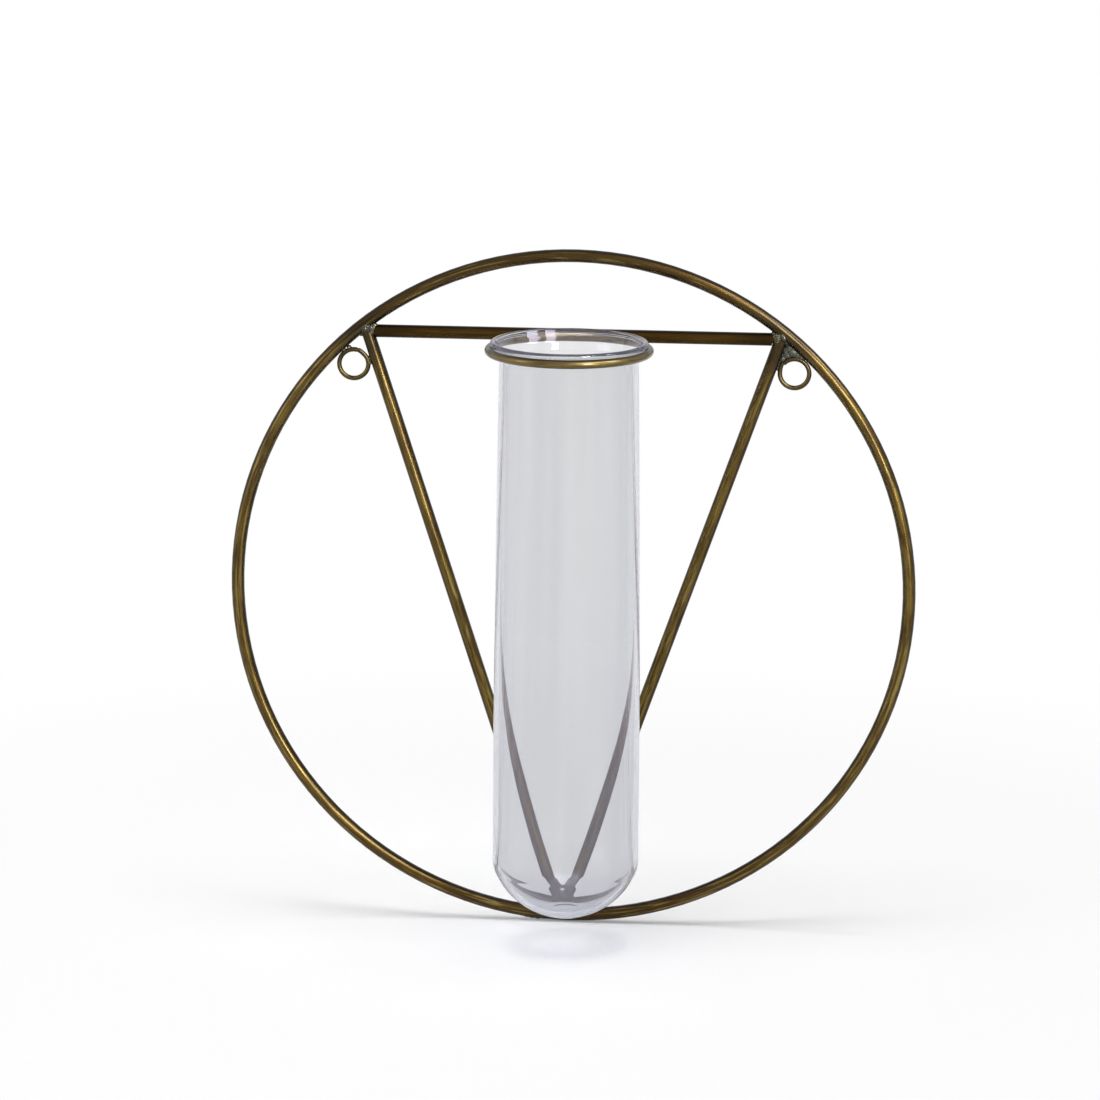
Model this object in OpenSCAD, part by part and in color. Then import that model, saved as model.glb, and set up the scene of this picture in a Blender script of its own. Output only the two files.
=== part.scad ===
// Hanging wall vase: a round brass hoop with a V of rods behind a clear glass tube.
// +Z is up, the wall is the plane y = 0 and the vase faces -Y.
// The origin lies on the wall, midway between the centres of the two hanging eyes.

/* [Hoop and rods] */
// Outer diameter of the hoop
hoop_d = 240; // [225:5:280]
// Thickness of the hoop and rods
rod_d = 4.5; // [4:0.25:5.5]
// Height of the cross bar above the middle of the hoop
bar_rise = 90; // [84:0.5:94]
// Where the V meets the hoop: right of the middle is positive
foot_x = -2.8; // [-6:0.2:6]
// Distance between the two V bars where they reach the hoop
foot_spread = 2; // [0:0.5:4]

/* [Hanging eyes] */
// Clear diameter inside each eye
eye_bore = 8.5; // [6.5:0.1:9]
// Thickness of the eye wire
eye_wire = 1.65; // [1.2:0.05:2]
// Angle that the bent ends of each eye leave open
eye_gap_angle = 4; // [2:1:10]
// Direction of the open ends of the left eye, from its centre
left_eye_gap_at = 72; // [60:1:120]
// Direction of the open ends of the right eye, from its centre
right_eye_gap_at = 132; // [60:1:140]

/* [Collar] */
// Thickness of the collar wire
collar_wire = 3; // [2.5:0.1:4]
// Clear diameter inside the collar
collar_bore = 51.8; // [51.6:0.1:53]
// Where the collar and tube sit along the cross bar: right of the middle is positive
collar_x = 1.2; // [-6:0.2:6]

/* [Glass tube] */
// Widest outer diameter of the tube, in its lower half
tube_d = 50.6; // [48:0.1:50.8]
// Outer diameter of the tube at its neck, just under the flared mouth
neck_d = 47.8; // [46:0.1:47.8]
// Length of the tube from the top of the lip to the bottom
tube_length = 203.2; // [150:0.2:230]
// Wall thickness at the neck
neck_wall = 1.4; // [1:0.1:1.6]
// Wall thickness of the lower body
body_wall = 1.8; // [1.4:0.1:2.5]
// Thickness of the glass at the middle of the bottom
base_wall = 2.6; // [2:0.1:4]
// Radius of the domed bottom
dish_r = 26.6; // [26:0.1:32]
// Radius of the curve between the domed bottom and the side
knuckle_r = 10; // [6:0.5:14]
// Diameter of the fire-polished bead round the mouth
lip_bead = 1.9; // [1.6:0.1:2.2]
// Diameter of the bead's centre line round the mouth
lip_d = 52.3; // [52:0.1:52.6]

/* [Hidden] */
$fn = 96;

rod_r = rod_d / 2;
hoop_r = (hoop_d - rod_d) / 2;
hoop_inner_r = hoop_d / 2 - rod_d;

// Gap that the brazing metal fills between two brazed rods
braze_gap = 0.08;

// How far inside the hoop's inner edge each V bar's centre line ends, at the cross bar
corner_inset = 0.3;
bar_top_x = sqrt(pow(hoop_inner_r - corner_inset, 2) - pow(bar_rise, 2));

// Each V bar's centre line, as its top and its foot: [x, z] from the middle of the hoop
left_bar = [[-bar_top_x, bar_rise], [foot_x - foot_spread / 2, -hoop_r]];
right_bar = [[bar_top_x, bar_rise], [foot_x + foot_spread / 2, -hoop_r]];

// Length of rod left past each end of a bar before it is trimmed to the hoop
trim_stock = 12;

// Each eye nests in the corner between the hoop and its V bar
eye_r = (eye_bore + eye_wire) / 2;
eye_outer_r = eye_bore / 2 + eye_wire;
eye_reach = hoop_inner_r - eye_outer_r - braze_gap;
eye_to_bar = eye_outer_r + rod_r + braze_gap;
eye_angle = min(nest_angle(left_bar), nest_angle(right_bar));
eye_x = eye_reach * cos(eye_angle);
eye_rise = eye_reach * sin(eye_angle);

// Everything is laid out from the middle of the hoop, which lies this far from the origin
hoop_y = -rod_r;
hoop_z = -eye_rise;

// The back of the collar meets the front of the cross bar
collar_r = (collar_bore + collar_wire) / 2;
collar_y = -(rod_r + collar_wire / 2 + collar_r + braze_gap);

// Running gap between the lip's bead and the collar that it rests on
lip_gap = 0.2;
lip_r = lip_d / 2;
bead_r = lip_bead / 2;
lip_reach = collar_wire / 2 + bead_r + lip_gap;
lip_z = bar_rise + sqrt(pow(lip_reach, 2) - pow(collar_r - lip_r, 2));

tube_top = lip_z + bead_r;
tube_bottom = tube_top - tube_length;
tube_r = tube_d / 2;
neck_r = neck_d / 2;
// The mouth flares on this radius through this angle, from this far below the bead
flare_r = 10;
flare_angle = 35;
flare_drop = 7.85;
neck_z = lip_z - flare_drop;
// The tube is at its widest up to this share of its length, and then bends in by this power
swell_share = 0.268;
swell_power = 1.5;
swell_z = tube_bottom + swell_share * tube_length;
// Small round nub that the moulding leaves in the middle of the bottom
nub_r = 1.4;
nub_h = 0.3;
nub_bevel = 0.2;

// Steps in each curve of the tube's outline
arc_steps = 12;
side_steps = 14;

// Beads of brazing metal at each joint: [outward, back, up, radius]
corner_beads = rod_r * [[0.1, 0, 0.55, 1.25], [-0.7, -0.15, 0.2, 1.15], [0.7, -0.15, -0.3, 0.9]];
foot_beads = rod_r * [[0, 0, 0.45, 1.3], [-1.4, -0.1, 0.1, 0.95], [1.5, -0.2, 0.15, 1], [0.1, -0.15, 1.7, 1]];
eye_bead_r = eye_wire;

// Thickness of the sheet of brazing metal above the right eye
web_t = 1.4;
// Height of the seam of brazing metal behind the collar, and half its length at back and front
seam_h = 2.4;
seam_back = 5;
seam_front = 3.8;

brass = [0.44, 0.36, 0.18];
dark_brass = [0.33, 0.26, 0.12];
braze_metal = [0.62, 0.58, 0.44];
clear_glass = [0.82, 0.84, 0.9, 0.35];

// Which side of the hoop a V bar is on: -1 for left and 1 for right
function side_of(bar) = sign(bar[0][0]);

// How far a V bar leans outwards from upright
function lean_of(bar) = atan2(abs(bar[0][0] - bar[1][0]), bar[0][1] - bar[1][1]);

// Direction [x, z] square to a V bar, outwards and down
function outward(bar) = [side_of(bar) * cos(lean_of(bar)), -sin(lean_of(bar))];

// Angle above level, from the middle of the hoop, at which an eye touches both hoop and V bar
function nest_angle(bar) = acos((bar[0] * outward(bar) + eye_to_bar) / eye_reach) - lean_of(bar);

// Centre [x, z] of the eye beside a V bar, and its directions to the hoop and to the bar
function eye_centre(bar) = [side_of(bar) * eye_x, eye_rise];
function to_hoop(bar) = eye_centre(bar) / eye_reach;
function to_bar(bar) = -outward(bar);

// Points [r, z] on an arc about centre c, from angle a0 to angle a1
function arc(c, r, a0, a1) =
    [for (i = [0:arc_steps]) let (a = a0 + (a1 - a0) * i / arc_steps) c + r * [cos(a), sin(a)]];

// A domed bottom and its knuckle, from radius start out to the side, which is the wall's radius
function dome(start, side, bottom, dish, knuckle) =
    let (
        turn = asin((side - knuckle) / (dish - knuckle)),
        knuckle_z = bottom + dish - (dish - knuckle) * cos(turn)
    )
    concat(
        arc([0, bottom + dish], dish, asin(start / dish) - 90, turn - 90),
        arc([side - knuckle, knuckle_z], knuckle, turn - 90, 0)
    );

// How far up the tapering side a height is: 0 where the tube is widest and 1 at the neck
function up_side(z) = max(0, (z - swell_z) / (neck_z - swell_z));
function outer_side_r(z) = tube_r - (tube_r - neck_r) * pow(up_side(z), swell_power);
function wall_at(z) = body_wall - (body_wall - neck_wall) * up_side(z);

// Heights of the side's points, from its widest place up to the neck
side_heights = [for (i = [0:side_steps]) swell_z + (neck_z - swell_z) * i / side_steps];
flare_step = flare_angle / arc_steps;

outer_outline = concat(
    [[0, tube_bottom], [nub_r - nub_bevel, tube_bottom]],
    dome(nub_r, tube_r, tube_bottom + nub_h, dish_r, knuckle_r),
    [for (z = side_heights) [outer_side_r(z), z]],
    arc([neck_r + flare_r, neck_z], flare_r, 180 - flare_step, 180 - flare_angle)
);
lip_outline = arc([lip_r, lip_z], bead_r, -100, 150);
inner_dome = dome(
    0, tube_r - body_wall, tube_bottom + nub_h + base_wall, dish_r - body_wall, knuckle_r - body_wall
);
inner_outline = concat(
    arc([neck_r + flare_r, neck_z], flare_r + neck_wall, 180 - flare_angle, 180 - flare_step),
    [for (i = [side_steps:-1:0]) let (z = side_heights[i]) [outer_side_r(z) - wall_at(z), z]],
    [for (i = [len(inner_dome) - 1:-1:0]) inner_dome[i]]
);

// Puts its children in place: their origin is the middle of the hoop
module from_hoop() {
    translate([0, hoop_y, hoop_z]) children();
}

// A round rod between two [x, z] points in the plane of the hoop
module rod(from, to) {
    run = to - from;
    translate([from[0], 0, from[1]])
        rotate([0, atan2(run[0], run[1]), 0])
            cylinder(h = norm(run), d = rod_d);
}

// A V bar's rod with spare length at both ends, before it is trimmed
module bar_stock(bar) {
    along = (bar[0] - bar[1]) / norm(bar[0] - bar[1]);
    rod(bar[1] - along * trim_stock, bar[0] + along * trim_stock);
}

// The hoop's rod, as a full ring in the plane of the hoop
module hoop_ring() {
    rotate([90, 0, 0])
        rotate_extrude($fn = 180)
            translate([hoop_r, 0]) circle(r = rod_r, $fn = 48);
}

// A round plate thicker than a rod, which trims what reaches past the hoop's inside
module inside_hoop() {
    rotate([90, 0, 0])
        cylinder(h = rod_d * 2, r = hoop_inner_r - braze_gap, center = true, $fn = 180);
}

// The half of space on a V bar's own side of the V's middle
module own_half(bar) {
    translate([foot_x + side_of(bar) * (hoop_d + braze_gap) / 2, 0, 0])
        cube([hoop_d, rod_d * 2, hoop_d * 1.2], center = true);
}

module v_bar(bar) {
    intersection() {
        bar_stock(bar);
        inside_hoop();
        own_half(bar);
    }
}

// The space on the far side of a V bar's inner face, which trims the cross bar to a mitre
module past_bar(bar) {
    translate([bar[0][0], 0, bar[0][1]])
        rotate([0, side_of(bar) * lean_of(bar), 0])
            translate([side_of(bar) * (hoop_r / 2 - rod_r - braze_gap), 0, 0])
                cube([hoop_r, rod_d * 2, rod_d * 4], center = true);
}

module mitred_cross_bar() {
    difference() {
        intersection() {
            rod([-bar_top_x, bar_rise], [bar_top_x, bar_rise]);
            inside_hoop();
        }
        past_bar(left_bar);
        past_bar(right_bar);
    }
}

// Puts its children at the centre of the eye beside a V bar
module at_eye(bar) {
    translate([eye_centre(bar)[0], 0, eye_centre(bar)[1]]) children();
}

// A ring of wire in the plane of the hoop, open between its two ends
module open_eye(gap_at) {
    rotate([90, -gap_at, 0])
        rotate([0, 0, eye_gap_angle / 2])
            rotate_extrude(angle = 360 - eye_gap_angle)
                translate([eye_r, 0]) circle(d = eye_wire, $fn = 32);
}

// A closed ring a little thicker than an eye's wire, which trims brazing metal off it
module eye_trim(bar) {
    at_eye(bar)
        rotate([90, 0, 0])
            rotate_extrude()
                translate([eye_r, 0]) circle(d = eye_wire + 2 * braze_gap, $fn = 32);
}

module collar_ring() {
    translate([collar_x, collar_y, bar_rise])
        rotate_extrude($fn = 240)
            translate([collar_r, 0]) circle(d = collar_wire, $fn = 64);
}

// Beads of brazing metal laid round a place [x, z], for the side that they are on
module beads(list, place, side = 1) {
    for (b = list)
        translate([place[0] + side * b[0], b[1], place[1] + b[2]]) sphere(r = b[3], $fn = 64);
}

// Brazing metal where a V bar, the cross bar and the hoop meet
module corner_braze(bar) {
    difference() {
        beads(corner_beads, bar[0], side_of(bar));
        hoop_ring();
        v_bar(bar);
        mitred_cross_bar();
    }
}

// A thin sheet of brazing metal that fills the corner above an eye
module eye_web(bar) {
    centre = eye_centre(bar);
    rotate([90, 0, 0])
        linear_extrude(height = web_t, center = true)
            polygon([
                bar[0],
                centre + (eye_outer_r + rod_r) * to_hoop(bar),
                centre,
                centre + eye_to_bar * to_bar(bar)
            ]);
}

module hoop() {
    color(brass) from_hoop() hoop_ring();
}

module cross_bar() {
    color(dark_brass) from_hoop() mitred_cross_bar();
}

module left_v_bar() {
    color(brass) from_hoop() v_bar(left_bar);
}

module right_v_bar() {
    color(brass) from_hoop() v_bar(right_bar);
}

module tube_collar() {
    color(brass) from_hoop() collar_ring();
}

module left_hanging_eye() {
    color(brass) from_hoop() at_eye(left_bar) open_eye(left_eye_gap_at);
}

module right_hanging_eye() {
    color(brass) from_hoop() at_eye(right_bar) open_eye(right_eye_gap_at);
}

module glass_tube() {
    color(clear_glass) from_hoop()
        translate([collar_x, collar_y, 0])
            rotate_extrude($fn = 120)
                polygon(concat(outer_outline, lip_outline, inner_outline));
}

module left_corner_braze() {
    color(braze_metal) from_hoop() corner_braze(left_bar);
}

module right_corner_braze() {
    color(braze_metal) from_hoop() corner_braze(right_bar);
}

// Brazing metal round the feet of the V, on the inside of the hoop
module foot_braze() {
    color(braze_metal) from_hoop() difference() {
        beads(foot_beads, [foot_x, -hoop_inner_r]);
        hoop_ring();
        v_bar(left_bar);
        v_bar(right_bar);
    }
}

// Brazing metal between the back of the collar and the front of the cross bar
module collar_braze() {
    color(braze_metal) from_hoop() difference() {
        translate([collar_x, 0, bar_rise])
            linear_extrude(height = seam_h, center = true)
                polygon([
                    [-seam_back, -rod_r / 2],
                    [seam_back, -rod_r / 2],
                    [seam_front, -rod_r - collar_wire / 2],
                    [-seam_front, -rod_r - collar_wire / 2]
                ]);
        collar_ring();
        mitred_cross_bar();
    }
}

// Brazing metal on both sides of the left eye, at the hoop and at the V bar
module left_eye_braze() {
    centre = eye_centre(left_bar);
    color(braze_metal) from_hoop() difference() {
        for (way = [to_hoop(left_bar), to_bar(left_bar)])
            beads([[0, 0, 0, eye_bead_r]], centre + eye_outer_r * way);
        hoop_ring();
        v_bar(left_bar);
        eye_trim(left_bar);
    }
}

module right_eye_braze() {
    color(braze_metal) from_hoop() difference() {
        eye_web(right_bar);
        hoop_ring();
        v_bar(right_bar);
        beads(corner_beads, right_bar[0]);
        at_eye(right_bar) rotate([90, 0, 0]) cylinder(h = rod_d, r = eye_outer_r + braze_gap, center = true);
    }
}

hoop();
cross_bar();
left_v_bar();
right_v_bar();
tube_collar();
left_hanging_eye();
right_hanging_eye();
glass_tube();
left_corner_braze();
right_corner_braze();
foot_braze();
collar_braze();
left_eye_braze();
right_eye_braze();
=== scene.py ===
"""The looks of a hanging wall vase: an aged brass hoop with a V of rods, and a clear glass tube."""
import logging
import math
from dataclasses import dataclass, field
from enum import Enum

import bpy
import numpy as np
from mathutils import Matrix, Vector


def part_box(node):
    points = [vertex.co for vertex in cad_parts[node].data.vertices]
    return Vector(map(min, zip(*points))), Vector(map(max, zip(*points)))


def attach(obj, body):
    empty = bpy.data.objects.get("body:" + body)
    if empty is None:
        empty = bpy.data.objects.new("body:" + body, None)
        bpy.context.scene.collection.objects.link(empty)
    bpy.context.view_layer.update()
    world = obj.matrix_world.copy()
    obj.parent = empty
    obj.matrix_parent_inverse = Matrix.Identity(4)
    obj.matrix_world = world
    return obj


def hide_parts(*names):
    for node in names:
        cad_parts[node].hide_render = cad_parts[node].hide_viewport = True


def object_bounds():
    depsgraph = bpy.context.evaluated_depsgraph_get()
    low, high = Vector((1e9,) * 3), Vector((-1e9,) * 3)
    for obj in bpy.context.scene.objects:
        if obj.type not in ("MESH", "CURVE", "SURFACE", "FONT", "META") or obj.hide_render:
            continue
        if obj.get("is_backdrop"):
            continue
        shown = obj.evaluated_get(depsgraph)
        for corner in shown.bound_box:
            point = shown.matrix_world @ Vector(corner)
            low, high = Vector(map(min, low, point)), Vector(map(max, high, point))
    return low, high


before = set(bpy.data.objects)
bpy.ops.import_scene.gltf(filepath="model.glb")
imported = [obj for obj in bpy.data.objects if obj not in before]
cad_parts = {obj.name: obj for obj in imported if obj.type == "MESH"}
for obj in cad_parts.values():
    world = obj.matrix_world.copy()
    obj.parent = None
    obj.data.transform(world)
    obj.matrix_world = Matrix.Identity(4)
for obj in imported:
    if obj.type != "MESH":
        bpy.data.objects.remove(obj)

logging.basicConfig(level=logging.INFO, format="%(message)s")
log = logging.getLogger("wall_vase")

Pair = tuple[float, float]
Colour = tuple[float, float, float]
Point = tuple[float, float, float]
Blob = tuple[float, float, float, float]
Profile = list[Pair]
Piece = bpy.types.Object
Material = bpy.types.Material
Node = bpy.types.Node
Socket = bpy.types.NodeSocket

MM = 0.001
TO_MM: Point = (1000.0, 1000.0, 1000.0)
WHITE: Colour = (1.0, 1.0, 1.0)
PALE: Colour = (0.8, 0.8, 0.8)
SIDES = ("left", "right")


class Body(Enum):
    """The parts of the vase that move together."""

    HOLDER = "holder"
    TUBE = "vase_tube"


class Slot(Enum):
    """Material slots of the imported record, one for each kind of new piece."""

    ROD = "rod_brass"
    EYE = "eye_brass"
    BRAZE = "braze"
    GLASS = "clear_glass"


class Blend(Enum):
    """How a value goes from 0 to 1: eased at both ends, or evenly."""

    EASED = "SMOOTHSTEP"
    EVEN = "LINEAR"


def box_centre(node: str) -> Vector:
    """Returns the middle of a CAD node's box, in metres."""
    low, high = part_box(node)
    return (low + high) / 2


def box_size(node: str) -> Vector:
    """Returns the width, depth and height of a CAD node's box, in metres."""
    low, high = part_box(node)
    return high - low


def eye_middle(side: str) -> Vector:
    """Returns the middle of an eye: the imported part's origin is at the height of both."""
    middle = box_centre(f"{side}_hanging_eye")
    return Vector((middle.x, middle.y, 0.0))


@dataclass(frozen=True)
class Grain:
    """The scale and character of a fractal noise.

    Attributes:
        scale: Size of the noise's marks: how many there are to a mm.
        detail: How many finer layers it has.
        roughness: How strong the finer layers are.
        stretch: Factor on the third axis, under 1 where the marks are drawn out along it.
    """

    scale: float
    detail: float
    roughness: float = 0.55
    stretch: float = 1.0


@dataclass(frozen=True)
class Veil:
    """Where a layer of colour shows over what is under it.

    Attributes:
        low: Value of the layer's pattern at which it starts.
        high: Value at which it is full.
        share: How much of it shows there, from 0 to 1.
    """

    low: float
    high: float
    share: float = 1.0


@dataclass(frozen=True)
class Scorch:
    """A place that the brazing torch darkened, in metres.

    Attributes:
        joint: The middle of the joint.
        reach: How far from it the heat colours the metal.
    """

    joint: Vector
    reach: float


class Recipe:
    """Lays out the shader nodes of one material, or of the world."""

    def __init__(self, owner: Material | bpy.types.World) -> None:
        """Starts with an output and nothing else.

        Args:
            owner: The new material or world.
        """
        owner.use_nodes = True
        kind = "World" if isinstance(owner, bpy.types.World) else "Material"
        self.owner = owner
        self.tree = owner.node_tree
        self.tree.nodes.clear()
        self.output = self.tree.nodes.new(f"ShaderNodeOutput{kind}")

    def feed(self, socket: Socket, value: object) -> None:
        """Links or sets an input.

        Args:
            socket: The input.
            value: A node or socket to link to it, or its constant.
        """
        if isinstance(value, Node):
            value = value.outputs[0]
        if isinstance(value, Socket):
            self.tree.links.new(value, socket)
        elif isinstance(value, tuple) and len(value) == 3 and len(socket.default_value) == 4:
            socket.default_value = (*value, 1.0)
        else:
            socket.default_value = value

    def node(self, kind: str, inputs: dict | None = None, **settings: object) -> Node:
        """Adds a node.

        Args:
            kind: The node's type, without its ShaderNode prefix.
            inputs: Constants, nodes or sockets for its inputs, by name or number.
            settings: The node's own settings.

        Returns:
            The new node.
        """
        made = self.tree.nodes.new("ShaderNode" + kind)
        for name, value in settings.items():
            setattr(made, name, value)
        for name, value in (inputs or {}).items():
            self.feed(made.inputs[name], value)
        return made

    def surface(self, shader: Node) -> None:
        """Puts a shader on the surface."""
        self.feed(self.output.inputs["Surface"], shader)

    def math(self, operation: str, first: object, second: object = 0.0) -> Socket:
        """Returns the result of a Math node."""
        return self.node("Math", {0: first, 1: second}, operation=operation).outputs[0]

    def vector(self, operation: str, first: object, second: object, result: str = "Vector") -> Socket:
        """Returns the result of a Vector Math node."""
        return self.node("VectorMath", {0: first, 1: second}, operation=operation).outputs[result]

    def split(self, vector: Socket) -> list[Socket]:
        """Returns the three parts of a vector."""
        return list(self.node("SeparateXYZ", {0: vector}).outputs)

    def join(self, x: object, y: object, z: object) -> Socket:
        """Returns a vector from its three parts."""
        return self.node("CombineXYZ", {0: x, 1: y, 2: z}).outputs[0]

    def place(self) -> Socket:
        """Returns the place on the piece, in metres."""
        return self.node("TexCoord").outputs["Object"]

    def place_mm(self) -> Socket:
        """Returns the place on the piece, in mm."""
        return self.vector("MULTIPLY", self.place(), TO_MM)

    def seen(self) -> Socket:
        """Tells what is seen from what lights the object.

        Returns:
            1 where the camera looks, also in metal and through glass, and 0 for the light on the object.
        """
        path = self.node("LightPath").outputs
        bent = self.math("MAXIMUM", path["Is Transmission Ray"], path["Is Glossy Ray"])
        return self.math("MAXIMUM", path["Is Camera Ray"], bent)

    def noise(self, place: Socket, grain: Grain) -> Socket:
        """Adds a fractal noise.

        Args:
            place: The place on the piece, in mm.
            grain: The noise's scale and character.

        Returns:
            The noise, from 0 to 1.
        """
        if grain.stretch != 1.0:
            place = self.vector("MULTIPLY", place, (1.0, 1.0, grain.stretch))
        inputs = {"Vector": place, "Scale": grain.scale, "Detail": grain.detail}
        return self.node("TexNoise", {**inputs, "Roughness": grain.roughness}).outputs[0]

    def span(self, value: Socket, low: float, high: float, blend: Blend = Blend.EASED) -> Socket:
        """Returns 0 at low, 1 at high and a blend between, where low may be the greater of the two."""
        limits = {"Value": value, "From Min": low, "From Max": high}
        return self.node("MapRange", limits, interpolation_type=blend.value).outputs[0]

    def veil(self, pattern: Socket, veil: Veil) -> Socket:
        """Returns how much of a layer shows, from 0 to its share."""
        shown = self.span(pattern, veil.low, veil.high)
        return shown if veil.share == 1.0 else self.math("MULTIPLY", shown, veil.share)

    def blend(self, share: object, first: object, second: object) -> Socket:
        """Mixes two colours.

        Args:
            share: How much of the second shows, from 0 to 1.
            first: The colour underneath.
            second: The colour over it.

        Returns:
            The mixed colour.
        """
        made = self.node("Mix", data_type="RGBA")
        for number, value in ((0, share), (6, first), (7, second)):
            self.feed(made.inputs[number], value)
        return made.outputs[2]

    def bump(self, height: Socket, depth_mm: float, under: Socket | None = None) -> Socket:
        """Returns the normal of a surface raised by height times a depth, over one raised already."""
        inputs = {"Height": height, "Distance": depth_mm * MM, "Strength": 1.0}
        return self.node("Bump", inputs if under is None else {**inputs, "Normal": under}).outputs[0]


class WirePath:
    """Where a wire runs, so that its finish can follow it."""

    def parts(self, recipe: Recipe) -> Socket:
        """Returns a vector in mm: towards the viewer, across to the wire's edge, and along it."""
        raise NotImplementedError


@dataclass(frozen=True)
class StraightPath(WirePath):
    """A straight rod.

    Attributes:
        centre: A point on the rod's centre line, in metres.
        along: The rod's direction.
    """

    centre: Vector
    along: Vector

    def parts(self, recipe: Recipe) -> Socket:
        """Places a point of the rod.

        Args:
            recipe: The material's recipe.

        Returns:
            A vector in mm: towards the viewer, across to the wire's edge, and along it.
        """
        front = Vector((0, -1, 0))
        side = front.cross(self.along).normalized()
        offset = recipe.vector("SUBTRACT", recipe.place(), tuple(self.centre))
        axes = [tuple(axis / MM) for axis in (front, side, self.along)]
        return recipe.join(*(recipe.vector("DOT_PRODUCT", offset, axis, "Value") for axis in axes))


@dataclass(frozen=True)
class RingPath(WirePath):
    """A round ring of wire.

    Attributes:
        centre: The ring's middle, in metres.
        radius: From the middle to the wire's centre line, in metres.
        level: True for a ring that lies flat, and False for one that stands up.
    """

    centre: Vector
    radius: float
    level: bool = False

    def parts(self, recipe: Recipe) -> Socket:
        """Places a point of the ring.

        Args:
            recipe: The material's recipe.

        Returns:
            A vector in mm: towards the viewer, across to the wire's edge, and along it.
        """
        offset = recipe.vector("SUBTRACT", recipe.place(), tuple(self.centre))
        x, y, z = recipe.split(recipe.vector("MULTIPLY", offset, TO_MM))
        front = recipe.math("MULTIPLY", y, -1.0)
        upwards = front if self.level else z
        squares = recipe.math("ADD", recipe.math("POWER", x, 2.0), recipe.math("POWER", upwards, 2.0))
        reach = self.radius / MM
        outward = recipe.math("SUBTRACT", recipe.math("SQRT", squares), reach)
        along = recipe.math("MULTIPLY", recipe.math("ARCTAN2", x, upwards), reach)
        return recipe.join(outward, z, along) if self.level else recipe.join(front, outward, along)


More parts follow.
